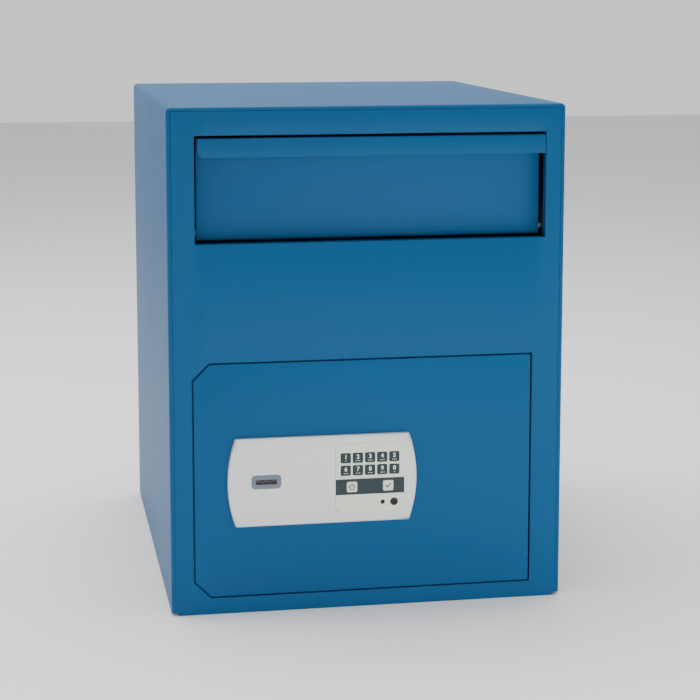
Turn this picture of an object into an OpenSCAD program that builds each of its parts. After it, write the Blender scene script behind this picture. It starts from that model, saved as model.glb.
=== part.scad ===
// Deposit safe: a steel box with a tilting deposit hopper at the top of its front
// and a keypad-locked collection door below it. Millimetres, +Z up, front faces -Y.
// The origin is the middle of the footprint, on the surface that the box stands on.

/* [Body] */
// Overall width
body_w = 400; // [360:1:520]
// Overall depth, without what stands proud of the door
body_d = 475; // [380:1:600]
// Overall height
body_h = 508; // [480:1:700]
// Thickness of the bent sheet of the sides, top and back
wall = 4; // [2:0.5:4]
// Thickness of the front plate
front_t = 4; // [3:0.5:6]
// Thickness of the base plate
base_t = 3; // [2:0.5:6]
// How far the base plate and the front plate's foot stay inside the sides
foot_inset = 7; // [5:0.5:12]
// Width of the flanges turned in under the side walls
floor_flange_w = 25; // [15:1:40]

/* [Anchors] */
// Diameter of the anchor holes in base and back
anchor_d = 12; // [8:0.5:16]
// Base anchors, centre to centre along X
base_anchor_x = 300; // [200:5:330]
// Base anchors, centre to centre along Y
base_anchor_y = 350; // [200:5:360]
// Back anchors, centre to centre along X
back_anchor_x = 250; // [150:5:330]
// Height of the back anchors
back_anchor_z = 300; // [280:5:420]

/* [Hopper] */
// Width of the hopper opening
mouth_w = 353; // [300:1:356]
// Height of the hopper opening
mouth_h = 106.5; // [88:0.5:128]
// Offset of the opening's centre from the middle of the box
mouth_x = 3.7; // [-5:0.1:8]
// Distance from the top of the box down to the opening
mouth_drop = 28; // [22:1:50]
// Depth of the recess in front of the hopper panel
recess_d = 16; // [12:0.5:25]
// Depth of the opening's return flange
return_d = 11; // [8:0.5:12]
// Gap between hopper and opening
hopper_gap = 3; // [2:0.5:4]
// Height of the finger lip
lip_h = 19; // [15:0.5:25]
// Sheet thickness of the hopper
hopper_t = 1.5; // [1:0.25:2]
// Length of the hopper tray floor
tray_len = 82; // [60:1:84]
// Slope of the tray floor with the hopper shut
tray_slope = 34; // [25:1:38]
// Diameter of the hopper pivot pins
hopper_pin_d = 8; // [6:0.5:10]

/* [Door] */
// Width of the door
door_w = 342.5; // [285:0.5:344]
// Height of the door
door_h = 236; // [220:1:260]
// Offset of the door's centre from the middle of the box
door_x = -4.7; // [-6:0.1:0]
// Height of the door's lower edge above the floor
door_z = 18.2; // [16:0.2:25]
// Thickness of the door plate
door_t = 3; // [2.5:0.5:4]
// Gap between door and front plate
door_gap = 1.6; // [1.4:0.1:2.5]
// Leg of the cut-off corners on the lock side
door_chamfer = 16; // [8:1:24]
// Diameter of the hinge pins
hinge_pin_d = 6; // [5:0.5:6.5]
// Distance of the hinge axis beyond the door's edge
hinge_out = 23; // [23:0.5:24]
// Distance of the hinge axis behind the front face
hinge_in = 11; // [11:0.5:12]

/* [Lock] */
// Diameter of the locking bolts
bolt_d = 14; // [10:0.2:17]
// Travel of the locking bolts
bolt_throw = 20; // [12:1:22]
// Height of the middle between the two locking bolts
bolt_mid_z = 137.5; // [130:0.5:140]
// Distance between the two locking bolts
bolt_pitch = 105; // [95:1:120]
// Module of rack and pinion
gear_m = 1.5; // [1:0.25:1.5]
// Number of teeth of the pinion
pinion_teeth = 16; // [14:1:18]
// Diameter of the key barrel
barrel_d = 22.4; // [22:0.2:24]
// Key slot width
key_slot_w = 21.2; // [18:0.2:21.4]
// Key slot height
key_slot_h = 5; // [4.6:0.1:6]

/* [Lock panel] */
// Width of the lock panel between its corners
panel_w = 176; // [160:1:190]
// Height of the lock panel
panel_h = 89.5; // [80:0.5:100]
// Bulge of each end of the lock panel
panel_bulge = 7.8; // [4:0.2:12]
// How far the lock panel stands proud of the door
panel_t = 5.5; // [5:0.5:8]
// Distance of the lock panel's middle from the door's lock edge
panel_in = 128.35; // [126:0.05:140]
// Height of the lock panel's middle
panel_z = 134.3; // [125:0.1:145]
// Corner radius of the lock panel
panel_r = 4; // [2:0.5:6]

/* [Keypad] */
// Width of the keypad plate
pad_w = 70; // [66:1:80]
// Height of the keypad plate
pad_h = 70; // [66:1:80]
// Side of a digit key
key_size = 10; // [8:0.2:10.4]
// Distance from key to key
key_pitch = 12.4; // [12:0.1:13]
// Travel of a key
key_travel = 0.6; // [0.3:0.1:0.6]
// Clearance round a key
key_gap = 0.25; // [0.15:0.05:0.4]

/* [Hidden] */
$fn = 64;

blue = [0.10, 0.40, 0.58];
steel = [0.70, 0.71, 0.72];
zinc = [0.78, 0.78, 0.74];

// Clearances
run_gap = 0.05;       // radial, between a shaft and the bore that it turns in
slide_gap = 0.08;     // radial, between a locking bolt and its guide
seat_gap = 0.05;      // radial, between a fixed pin and its hole

// Body, with the front face at y = face_y
face_y = -body_d / 2;
inner_x = body_w / 2 - wall;
roof_z = body_h - wall;
sheet_bend = 1;       // inner radius of the sheet's bends

// Hopper opening
mouth_top = body_h - mouth_drop;
mouth_bottom = mouth_top - mouth_h;
mouth_left = mouth_x - mouth_w / 2;
mouth_right = mouth_x + mouth_w / 2;
surround_t = 1.5;

// Hopper, measured from its pivot
hopper_left = mouth_left + hopper_gap;
hopper_right = mouth_right - hopper_gap;
lip_gap = 0.7;
lip_right = mouth_right - lip_gap;
hopper_w = hopper_right - hopper_left;
pivot_d = recess_d + 9;
pivot_rise = 8.5;
pivot_z = mouth_bottom + pivot_rise;
panel_back = recess_d + hopper_t - pivot_d;
lip_corner = 7;
hopper_low = 2.5 - pivot_rise;
hopper_top = mouth_h - pivot_rise - 2.5;
hopper_open_angle = 44;
sector_r = hopper_top - hopper_t - 2;
sector_back_angle = 35;
tray_tip = [panel_back + tray_len * cos(tray_slope), hopper_low - tray_len * sin(tray_slope)];
tray_tip_r = norm(tray_tip);
weight_w = 20;
weight_t = 12;
bracket_t = 3;
bush_wall = 2;
bush_flange_t = 0.8;
hopper_pin_r = hopper_pin_d / 2;

// Fishing baffle, behind the sweep of the hopper
baffle_y = max(sector_r, norm([tray_tip_r, weight_t])) + 2;
baffle_t = 1.5;
tip_open_angle = atan2(tray_tip[1], tray_tip[0]) + hopper_open_angle;
baffle_low = tray_tip_r * sin(tip_open_angle) + 1.5;
baffle_reach = 20;

// Door
door_left = door_x - door_w / 2;
door_right = door_x + door_w / 2;
door_top = door_z + door_h;
frame_lap = 6;
frame_t = 3;
frame_rim = 14;
keeper_d = 38;
keeper_gap = 0.75;

// Hinge, with arm outlines measured from the pin
pin_x = door_right + hinge_out;
pin_r = hinge_pin_d / 2;
boss_r = pin_r + 2.5;
arm_t = 6;
arm_clear = norm([hinge_out - door_gap, hinge_in]) + 2;
arm_band = 7;
arm_leg = 8;
arm_web = 3;
arm_inset = 14;
arm_low_z = door_z + arm_inset;
arm_high_z = door_top - arm_inset - arm_t;
bracket_plate = 4;
washer_t = 0.8;
arm_play = 0.2;

// Boltwork
bolt_r = bolt_d / 2;
bolt_depth = 24;
bolt_z = [bolt_mid_z - bolt_pitch / 2, bolt_mid_z + bolt_pitch / 2];
bolt_tip = door_left + 9;
guide_x = bolt_tip + 7;
guide_t = 3;
bolt_len = guide_t + bolt_throw + 24;
bar_x = bolt_tip + bolt_len;
bar_t = 6;
bar_w = 10;
spigot_r = 3;
nut_r = 6;
nut_t = 6;

// Key lock, set by the lock panel
panel_x = door_left + panel_in;
lock_x = panel_x - 57.2;
lock_z = panel_z + 0.7;
barrel_r = barrel_d / 2;
case_wall = 3;
case_d = 16;
tail_r = 5;

// Rack and pinion
pinion_x = lock_x + 34.8;
pitch_r = gear_m * pinion_teeth / 2;
tooth_pitch = PI * gear_m;
addendum = gear_m;
dedendum = 1.25 * gear_m;
backlash = 0.3;
pressure_angle = 20;
pinion_z = 114;
rack_d = 21;
rack_t = 6;
rack_z = pinion_z + pitch_r;
rack_back = 10;
rack_teeth = 15;
shaft_r = 3;

// Lock cover
cover_t = 1.2;
cover_d = 42;
cover_left = guide_x - 3.5;
cover_right = pin_x - arm_clear - arm_leg - 43.5;
cover_low = door_z + 22;
cover_high = door_top - 24;
post_r = 4;
screw_r = 2;

// Lock panel and keypad
pad_proud = 0.8;
pad_t = 2.6;
mat_t = 1;
band_t = 0.3;
key_front = panel_t + pad_proud + 0.8;
key_t = 2.7;
pad_x = panel_x + 47.6;
pad_z = panel_z + 1.5;
band_z = pad_z - 9.5;
band_h = 16;
fn_size = 10.5;
fn_x = 18.5;
row_z = [pad_z + 20.1, pad_z + 7.3];
light_x = pad_x + 13;
light_z = pad_z - 26.4;
light_r = 2.25;
socket_x = pad_x + 24.6;
socket_r = 4;

// Moves to a place given by x, depth behind the front face, and height
module at(x, d, z) {
    translate([x, face_y + d, z]) children();
}

// Block from x0 to x1, depth d0 to d1, and height z0 to z1
module block(x0, x1, d0, d1, z0, z1) {
    at(x0, d0, z0) cube([x1 - x0, d1 - d0, z1 - z0]);
}

// Round bar along Y from depth d0 to d1
module bar_y(x, z, r, d0, d1) {
    at(x, d0, z) rotate([-90, 0, 0]) cylinder(h = d1 - d0, r = r);
}

// Round bar along X from x0 to x1
module bar_x_axis(d, z, r, x0, x1) {
    at(x0, d, z) rotate([0, 90, 0]) cylinder(h = x1 - x0, r = r);
}

// Extrudes an outline drawn in X and Z from depth d0 to d1
module sheet_xz(d0, d1) {
    translate([0, face_y + d1, 0]) rotate([90, 0, 0]) linear_extrude(d1 - d0) children();
}

// Extrudes an outline drawn from the hopper pivot, in depth and height, from x0 to x1
module sheet_yz(x0, x1) {
    at(x0, pivot_d, pivot_z) rotate([90, 0, 90]) linear_extrude(x1 - x0) children();
}

// Rectangle with round corners, from low corner to high corner
module round_rect(low, high, r) {
    translate(low + [r, 0]) square(high - low - [2 * r, 0]);
    translate(low + [0, r]) square(high - low - [0, 2 * r]);
    for (x = [low[0] + r, high[0] - r], z = [low[1] + r, high[1] - r])
        translate([x, z]) circle(r);
}

// ---------------------------------------------------------------- body

// Sheet bent round both sides and the top, with flanges turned in at the bottom
module body_wrapper() {
    color(blue) intersection() {
        difference() {
            sheet_xz(0, body_d) difference() {
                round_rect([-body_w / 2, base_t], [body_w / 2, body_h], wall + sheet_bend);
                round_rect([-inner_x, base_t + wall], [inner_x, roof_z], sheet_bend);
                translate([floor_flange_w - inner_x, 0])
                    square([2 * (inner_x - floor_flange_w), base_t + 2 * wall]);
            }
            block(-inner_x, inner_x, -1, front_t, 0, 20);
            block(-inner_x, inner_x, body_d - wall, body_d + 1, 0, 20);
        }
        rounded_front_from_above();
        rounded_front_from_the_side();
    }
}

module rounded_front_from_above() {
    linear_extrude(body_h + 1)
        round_rect([-body_w / 2, face_y], [body_w / 2, body_d], wall);
}

module rounded_front_from_the_side() {
    rotate([90, 0, 90]) translate([0, 0, -body_w]) linear_extrude(2 * body_w)
        round_rect([face_y, -body_h], [body_d, body_h], wall);
}

// Outline of the door, drawn smaller all round by inset
module door_outline(inset) {
    x0 = door_left + inset;
    x1 = door_right - inset;
    z0 = door_z + inset;
    z1 = door_top - inset;
    c = door_chamfer - inset * (2 - sqrt(2));
    polygon([[x0 + c, z0], [x1, z0], [x1, z1], [x0 + c, z1], [x0, z1 - c], [x0, z0 + c]]);
}

module front_plate() {
    foot_x = body_w / 2 - foot_inset;
    color(blue) sheet_xz(0, front_t) difference() {
        union() {
            round_rect([-inner_x, base_t], [inner_x, roof_z], sheet_bend);
            translate([-foot_x, 0]) square([2 * foot_x, base_t + 1]);
        }
        translate([mouth_left, mouth_bottom]) square([mouth_w, mouth_h]);
        door_outline(-door_gap);
    }
}

module base_plate() {
    foot_x = body_w / 2 - foot_inset;
    color(blue) difference() {
        block(-foot_x, foot_x, front_t, body_d, 0, base_t);
        for (x = [-0.5, 0.5], y = [-0.5, 0.5])
            translate([x * base_anchor_x, y * base_anchor_y, -1])
                cylinder(h = base_t + 2, d = anchor_d);
    }
}

module back_panel() {
    color(blue) difference() {
        sheet_xz(body_d - wall, body_d)
            round_rect([-inner_x, base_t], [inner_x, roof_z], sheet_bend);
        for (x = [-0.5, 0.5])
            bar_y(x * back_anchor_x, back_anchor_z, anchor_d / 2, body_d - wall - 1, body_d + 1);
    }
}

// Rebate behind the door's edge, with the keeper flange for the locking bolts
module door_frame() {
    keeper_x = door_left + frame_lap;
    color(blue) {
        sheet_xz(front_t, front_t + frame_t) difference() {
            translate([door_left - frame_rim, door_z - 10])
                square([door_w + frame_rim, door_h + 20]);
            door_outline(frame_lap);
            translate([door_right - frame_lap - 1, door_z + frame_lap])
                square([20, door_h - 2 * frame_lap]);
        }
        difference() {
            block(keeper_x - frame_t, keeper_x, front_t + frame_t, keeper_d,
                bolt_z[0] - 30, bolt_z[1] + 30);
            for (z = bolt_z)
                bar_x_axis(bolt_depth, z, bolt_r + keeper_gap, keeper_x - 10, keeper_x + 10);
        }
    }
}

// ---------------------------------------------------------------- hopper seat

// Return flange round the hopper opening
module hopper_surround() {
    color(blue) sheet_xz(front_t, return_d) difference() {
        translate([mouth_left - surround_t, mouth_bottom - surround_t])
            square([mouth_w + 2 * surround_t, mouth_h + 2 * surround_t]);
        translate([mouth_left, mouth_bottom]) square([mouth_w, mouth_h]);
    }
}

// Outer face of the left bracket, and inner face of the right one
bracket_left = mouth_left - surround_t - bracket_t;
bracket_right = mouth_right + surround_t;
bush_r = hopper_pin_r + run_gap + bush_wall;

module hopper_brackets() {
    color(steel) for (x = [bracket_left, bracket_right])
        difference() {
            block(x, x + bracket_t, front_t, pivot_d + 14, pivot_z - 20, pivot_z + 20);
            bar_x_axis(pivot_d, pivot_z, bush_r, x - 1, x + bracket_t + 1);
        }
}

// Flanged plastic bushes, pressed into the brackets from the hopper side
module hopper_bushes() {
    color([0.9, 0.9, 0.86]) {
        hopper_bush(bracket_left, bracket_left + bracket_t);
        hopper_bush(bracket_right, bracket_right - bush_flange_t);
    }
}

module hopper_bush(x, flange_x) {
    difference() {
        union() {
            bar_x_axis(pivot_d, pivot_z, bush_r, x, x + bracket_t);
            bar_x_axis(pivot_d, pivot_z, bush_r + 2, flange_x, flange_x + bush_flange_t);
        }
        bar_x_axis(pivot_d, pivot_z, hopper_pin_r + run_gap, x - 10, x + 10);
    }
}

// Plate hung from the roof, whose lower flange meets the tray when the hopper is open
module fishing_baffle() {
    low_z = pivot_z + baffle_low;
    back = pivot_d + baffle_y;
    color(steel) {
        block(-inner_x + 4, inner_x - 4, back, back + baffle_t, low_z, roof_z);
        block(-inner_x + 4, inner_x - 4, back + baffle_t, back + 18, roof_z - baffle_t, roof_z);
        block(hopper_left + 6, hopper_right - 6, back - baffle_reach, back,
            low_z, low_z + baffle_t);
    }
}

// ---------------------------------------------------------------- hopper

// Panel, roof and finger lip, folded from one sheet
module hopper_front() {
    lip_front = -pivot_d;
    panel_front = panel_back - hopper_t;
    lip_low = hopper_top - lip_h;
    color(blue) {
        sheet_yz(hopper_left, hopper_right) {
            translate([panel_front, hopper_low]) square([hopper_t, hopper_top - hopper_low]);
            translate([lip_front, hopper_top - hopper_t])
                square([panel_back - lip_front, hopper_t]);
        }
        sheet_xz(0, hopper_t) hopper_lip_outline(pivot_z + lip_low, pivot_z + hopper_top);
    }
}

module hopper_lip_outline(z0, z1) {
    difference() {
        translate([hopper_left, z0]) square([lip_right - hopper_left, z1 - z0]);
        translate([hopper_left, z0]) square(lip_corner);
    }
    intersection() {
        translate([hopper_left + lip_corner, z0 + lip_corner]) circle(lip_corner);
        translate([hopper_left, z0]) square([2 * lip_corner, lip_corner]);
    }
}

// Sector plates that close the mouth's sides while the hopper is open
module hopper_sides() {
    color(blue) for (x = [hopper_left, hopper_right - hopper_t])
        difference() {
            sheet_yz(x, x + hopper_t) hopper_side_outline();
            bar_x_axis(pivot_d, pivot_z, hopper_pin_r + seat_gap, x - 1, x + hopper_t + 1);
        }
}

module hopper_side_outline() {
    arc_steps = 24;
    start = acos(panel_back / sector_r);
    arc = [for (i = [0:arc_steps])
        let (a = start + (sector_back_angle - start) * i / arc_steps)
        sector_r * [cos(a), sin(a)]];
    polygon(concat([[panel_back, hopper_low]], arc, [tray_tip]));
}

module tray_frame() {
    translate([panel_back, hopper_low]) rotate(-tray_slope) children();
}

// Sloping floor of the hopper, spot-welded between its side plates
module hopper_tray() {
    color(blue) sheet_yz(hopper_left + hopper_t, hopper_right - hopper_t)
        tray_frame() square([tray_len, hopper_t]);
}

// Flat bar under the tray, which shuts the hopper by its weight
module hopper_counterweight() {
    color(steel) sheet_yz(hopper_left + 12, hopper_right - 12)
        tray_frame() translate([tray_len - weight_w - 2, -weight_t]) square([weight_w, weight_t]);
}

module hopper_pins() {
    head_t = 2;
    color(zinc) {
        bar_x_axis(pivot_d, pivot_z, hopper_pin_r, bracket_left - 1, hopper_left + hopper_t);
        bar_x_axis(pivot_d, pivot_z, hopper_pin_r + 2,
            hopper_left + hopper_t, hopper_left + hopper_t + head_t);
        bar_x_axis(pivot_d, pivot_z, hopper_pin_r,
            hopper_right - hopper_t, bracket_right + bracket_t + 1);
        bar_x_axis(pivot_d, pivot_z, hopper_pin_r + 2,
            hopper_right - hopper_t - head_t, hopper_right - hopper_t);
    }
}

// Rivet heads on the tray that hold the counterweight
module hopper_rivets() {
    head_r = 4;
    head_t = 1.2;
    tip_x = panel_back + (tray_len - weight_w / 2 - 2) * cos(tray_slope);
    tip_z = hopper_low - (tray_len - weight_w / 2 - 2) * sin(tray_slope);
    color(zinc) for (x = [-0.4, -0.13, 0.13, 0.4])
        at(mouth_x + x * hopper_w, pivot_d + tip_x, pivot_z + tip_z)
            rotate([-tray_slope, 0, 0]) translate([0, 0, hopper_t])
                cylinder(h = head_t, r = head_r);
}

// ---------------------------------------------------------------- hinge

// C-shaped arms that reach round the front plate's edge when the door is open
module hinge_arms() {
    color(steel) for (z = [arm_low_z, arm_high_z])
        difference() {
            at(pin_x, hinge_in, z) linear_extrude(arm_t) hinge_arm_outline();
            at(pin_x, hinge_in, z - 1) cylinder(h = arm_t + 2, r = pin_r + run_gap);
        }
}

module hinge_arm_outline() {
    far = arm_clear + arm_band;
    circle(boss_r);
    translate([-arm_web, 0]) square([arm_web + boss_r, far]);
    translate([-arm_clear - arm_leg, arm_clear]) square([arm_clear + arm_leg, arm_band]);
    translate([-arm_clear - arm_leg, door_t - hinge_in])
        square([arm_leg, far - door_t + hinge_in]);
}

bracket_top = washer_t + arm_play;

module hinge_brackets() {
    color(steel) for (z = [arm_low_z, arm_high_z])
        difference() {
            block(pin_x - 8, inner_x, front_t, hinge_in + 9,
                z - bracket_top - bracket_plate, z - bracket_top);
            at(pin_x, hinge_in, z - 20) cylinder(h = 30, r = pin_r + seat_gap);
        }
}

module hinge_pins() {
    head_t = 2;
    color(zinc) for (z = [arm_low_z, arm_high_z]) {
        low = z - bracket_top - bracket_plate;
        at(pin_x, hinge_in, low) cylinder(h = arm_t + bracket_top + bracket_plate + 3, r = pin_r);
        at(pin_x, hinge_in, low - head_t) cylinder(h = head_t, r = pin_r + 1.5);
    }
}

module hinge_washers() {
    color([0.8, 0.65, 0.35]) for (z = [arm_low_z, arm_high_z])
        at(pin_x, hinge_in, z - bracket_top) difference() {
            cylinder(h = washer_t, r = boss_r);
            translate([0, 0, -1]) cylinder(h = washer_t + 2, r = pin_r + seat_gap);
        }
}

// ---------------------------------------------------------------- door

cable_x = pad_x + 6;
cable_z = panel_z + 4;
cable_r = 6;
stud_r = 2.5;
stud_x = [panel_x - panel_w / 2 + 8, panel_x + panel_w / 2 + 1.5];
stud_z = [panel_z - 28, panel_z + 31];

module door_panel() {
    color(blue) difference() {
        sheet_xz(0, door_t) door_outline(0);
        bar_y(lock_x, lock_z, barrel_r + 0.5, -1, door_t + 1);
        bar_y(cable_x, cable_z, cable_r, -1, door_t + 1);
        for (x = stud_x, z = stud_z) bar_y(x, z, stud_r + 0.3, -1, door_t + 1);
    }
}

// Folded bracket behind the lock edge that guides the locking bolts
module bolt_guide() {
    low = bolt_z[0] - 25;
    high = bolt_z[1] + 25;
    color(zinc) {
        difference() {
            block(guide_x, guide_x + guide_t, door_t, bolt_depth + bolt_r + 5, low, high);
            for (z = bolt_z)
                bar_x_axis(bolt_depth, z, bolt_r + slide_gap, guide_x - 1, guide_x + guide_t + 1);
        }
        block(guide_x + guide_t, guide_x + guide_t + 14, door_t, door_t + guide_t, low, high);
    }
}

// Sheet cover over the boltwork, open towards the door
module lock_cover() {
    color([0.62, 0.64, 0.66]) difference() {
        block(cover_left, cover_right, door_t, cover_d, cover_low, cover_high);
        block(cover_left + cover_t, cover_right - cover_t, door_t - 1, cover_d - cover_t,
            cover_low + cover_t, cover_high - cover_t);
        for (z = bolt_z)
            bar_x_axis(bolt_depth, z, bolt_r + 1.5, cover_left - 1, cover_left + cover_t + 1);
        for (x = post_x, z = post_z) bar_y(x, z, screw_r + 0.3, cover_d - 5, cover_d + 1);
    }
}

post_x = [guide_x + guide_t + 8, cover_right - 8];
post_z = [cover_low + 7, cover_high - 7];

module cover_posts() {
    color(zinc) for (x = post_x, z = post_z)
        difference() {
            bar_y(x, z, post_r, door_t, cover_d - cover_t);
            bar_y(x, z, screw_r + seat_gap, cover_d - 16, cover_d);
        }
}

module cover_screws() {
    head_r = 3.6;
    head_t = 2.2;
    slot_w = 1;
    color(zinc) for (x = post_x, z = post_z)
        difference() {
            union() {
                bar_y(x, z, screw_r, cover_d - 14, cover_d);
                bar_y(x, z, head_r, cover_d, cover_d + head_t);
            }
            for (turn = [0, 90])
                at(x, cover_d + head_t, z) rotate([0, turn, 0])
                    cube([4, 2, slot_w], center = true);
        }
}

// ---------------------------------------------------------------- boltwork

module locking_bolts() {
    color(steel) for (z = bolt_z) {
        bar_x_axis(bolt_depth, z, bolt_r, bolt_tip, bar_x);
        bar_x_axis(bolt_depth, z, spigot_r, bar_x, bar_x + bar_t + nut_t + 1);
    }
}

module bolt_nuts() {
    color(zinc) for (z = bolt_z)
        at(bar_x + bar_t, bolt_depth, z) rotate([0, 90, 0]) difference() {
            cylinder(h = nut_t, r = nut_r, $fn = 6);
            translate([0, 0, -1]) cylinder(h = nut_t + 2, r = spigot_r + seat_gap);
        }
}

// Upright bar that carries both bolts, with the rack on its right
module bolt_bar() {
    rack_left = bar_x + bar_t;
    first = round((rack_left + tooth_pitch - pinion_x) / tooth_pitch);
    color(zinc) {
        difference() {
            block(bar_x, bar_x + bar_t, bolt_depth - bar_w / 2, bolt_depth + bar_w / 2,
                bolt_z[0] - 12, bolt_z[1] + 12);
            for (z = bolt_z)
                bar_x_axis(bolt_depth, z, spigot_r + seat_gap, bar_x - 1, bar_x + bar_t + 1);
        }
        block(bar_x + 1, pinion_x + (first + rack_teeth) * tooth_pitch, rack_d, rack_d + rack_t,
            rack_z + dedendum, rack_z + dedendum + rack_back);
        sheet_xz(rack_d, rack_d + rack_t) for (i = [0:rack_teeth - 1])
            translate([pinion_x + (first + i) * tooth_pitch, rack_z]) rack_tooth();
    }
}

// Straight-sided tooth that points down from the rack, centred on the pitch line
module rack_tooth() {
    half = tooth_pitch / 4 - backlash / 2;
    slant = tan(pressure_angle);
    tip = half - addendum * slant;
    root = half + dedendum * slant;
    polygon([[-tip, -addendum], [tip, -addendum], [root, dedendum + 0.01],
        [-root, dedendum + 0.01]]);
}

function involute(base_r, roll) =
    base_r * [cos(roll) + roll * PI / 180 * sin(roll), sin(roll) - roll * PI / 180 * cos(roll)];

function turned(p, a) = [p[0] * cos(a) - p[1] * sin(a), p[0] * sin(a) + p[1] * cos(a)];

// Involute flank from root to tip, on the side where angles fall
function flank(base_r, tip_r, shift) = [
    for (i = [0:5])
        let (r = base_r + (tip_r - base_r) * i / 5)
        turned(involute(base_r, sqrt(pow(r / base_r, 2) - 1) * 180 / PI), shift)];

// Pinion with a tooth gap straight above its centre, where the rack's tooth is
module pinion_outline() {
    base_r = pitch_r * cos(pressure_angle);
    tip_r = pitch_r + addendum;
    root_r = pitch_r - dedendum;
    roll = tan(pressure_angle) * 180 / PI - pressure_angle;
    half_tooth = 90 / pinion_teeth + roll;
    step = 360 / pinion_teeth;
    side = flank(base_r, tip_r, -half_tooth);
    other = [for (i = [5:-1:0]) [side[i][0], -side[i][1]]];
    circle(root_r);
    for (i = [0:pinion_teeth - 1])
        rotate(90 + (i + 0.5) * step)
            polygon(concat([[0, 0]], side, other));
}

module drive_pinion() {
    color([0.85, 0.72, 0.4]) {
        at(pinion_x, rack_d + rack_t, pinion_z) rotate([90, 0, 0])
            linear_extrude(rack_t) pinion_outline();
        bar_y(pinion_x, pinion_z, shaft_r, rack_d - 9, rack_d);
        bar_y(pinion_x, pinion_z, shaft_r + 2, rack_d + rack_t, rack_d + rack_t + 2);
    }
}

module motor_bracket() {
    color(zinc) block(pinion_x - 20, pinion_x + 52, door_t, door_t + 2, pinion_z - 20,
        pinion_z + 8);
}

module gearbox() {
    color([0.25, 0.26, 0.28]) difference() {
        block(pinion_x - 14, pinion_x + 14, door_t + 2, rack_d - 2, pinion_z - 14, pinion_z + 9);
        bar_y(pinion_x, pinion_z, shaft_r + run_gap, rack_d - 9.5, rack_d);
    }
}

module motor() {
    axis_d = 14;
    axis_z = pinion_z - 5;
    color(steel) {
        bar_x_axis(axis_d, axis_z, 9, pinion_x + 14, pinion_x + 46);
        bar_x_axis(axis_d, axis_z, 3, pinion_x + 46, pinion_x + 49);
    }
}

// ---------------------------------------------------------------- key lock

// Upright plate outline of the key slot: a slit with a round widening in the middle
module key_slot_outline() {
    square([key_slot_w, key_slot_h], center = true);
    circle(key_slot_h / 2 + 0.8);
}

module key_escutcheon() {
    plate_w = 30;
    plate_h = 14;
    color([0.42, 0.46, 0.52]) sheet_xz(-panel_t - 0.8, -panel_t) difference() {
        round_rect([lock_x - plate_w / 2, lock_z - plate_h / 2],
            [lock_x + plate_w / 2, lock_z + plate_h / 2], 4);
        translate([lock_x, lock_z]) key_slot_outline();
    }
}

module key_lock_case() {
    half = barrel_r + case_wall;
    color(zinc) difference() {
        block(lock_x - half, lock_x + half, door_t, case_d, lock_z - half, lock_z + half);
        bar_y(lock_x, lock_z, barrel_r + run_gap, door_t - 1, case_d - 2);
        bar_y(lock_x, lock_z, tail_r + run_gap, case_d - 3, case_d + 1);
    }
}

module key_barrel() {
    color(steel) difference() {
        union() {
            bar_y(lock_x, lock_z, barrel_r, 0.3, case_d - 2.2);
            bar_y(lock_x, lock_z, tail_r, case_d - 2.2, case_d + 0.3);
        }
        sheet_xz(0, case_d - 5) translate([lock_x, lock_z])
            intersection() {
                key_slot_outline();
                circle(barrel_r - 0.4);
            }
    }
}

module key_cam() {
    cam_t = 2;
    cam_len = 16;
    color(zinc) {
        bar_y(lock_x, lock_z, tail_r + 3, case_d + 0.3, case_d + 0.3 + cam_t);
        block(lock_x - 4, lock_x + 4, case_d + 0.3, case_d + 0.3 + cam_t,
            lock_z - cam_len, lock_z);
    }
}

// ---------------------------------------------------------------- lock panel

// Outline with straight top and bottom and bulging ends, centred on the panel
module panel_outline(grow) {
    half_w = panel_w / 2 + grow;
    half_h = panel_h / 2 + grow;
    arc_r = half_h * half_h / (2 * panel_bulge) + panel_bulge / 2;
    arc_x = half_w + panel_bulge - arc_r;
    small_z = half_h - panel_r;
    small_x = arc_x + sqrt(pow(arc_r - panel_r, 2) - small_z * small_z);
    band = small_z * arc_r / (arc_r - panel_r);
    intersection() {
        translate([arc_x, 0]) circle(arc_r, $fn = 180);
        translate([-arc_x, 0]) circle(arc_r, $fn = 180);
        square([2 * (half_w + panel_bulge), 2 * band], center = true);
    }
    square([2 * small_x, 2 * half_h], center = true);
    for (x = [-small_x, small_x], z = [-small_z, small_z]) translate([x, z]) circle(panel_r);
}

module lock_panel() {
    pocket = panel_t + pad_proud - pad_t - mat_t;
    color([0.82, 0.83, 0.82]) difference() {
        sheet_xz(-panel_t, 0) translate([panel_x, panel_z]) panel_outline(0);
        sheet_xz(-panel_t - 1, -pocket) pad_outline(0.1);
        bar_y(cable_x, cable_z, cable_r, -panel_t, 1);
        sheet_xz(-panel_t - 1, 1) translate([lock_x, lock_z]) key_slot_outline();
    }
}

module panel_studs() {
    color(steel) for (x = stud_x, z = stud_z) bar_y(x, z, stud_r, 0, door_t + 6);
}

module panel_nuts() {
    color(zinc) for (x = stud_x, z = stud_z)
        at(x, door_t + 4, z) rotate([90, 0, 0]) difference() {
            cylinder(h = 4, r = 4.6, $fn = 6);
            translate([0, 0, -1]) cylinder(h = 6, r = stud_r + seat_gap);
        }
}

// ---------------------------------------------------------------- keypad

// Keypad plate outline: square corners above, round corners below
module pad_outline(grow) {
    corner = 6;
    low = [pad_x - pad_w / 2 - grow, pad_z - pad_h / 2 - grow];
    high = [pad_x + pad_w / 2 + grow, pad_z + pad_h / 2 + grow];
    round_rect(low, high, corner);
    round_rect([low[0], pad_z], high, 1.5);
}

digit_x = [for (i = [-2:2]) pad_x + i * key_pitch];

module key_outline(x, z, size, grow) {
    half = size / 2 + grow;
    round_rect([x - half, z - half], [x + half, z + half], 1.5);
}

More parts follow.
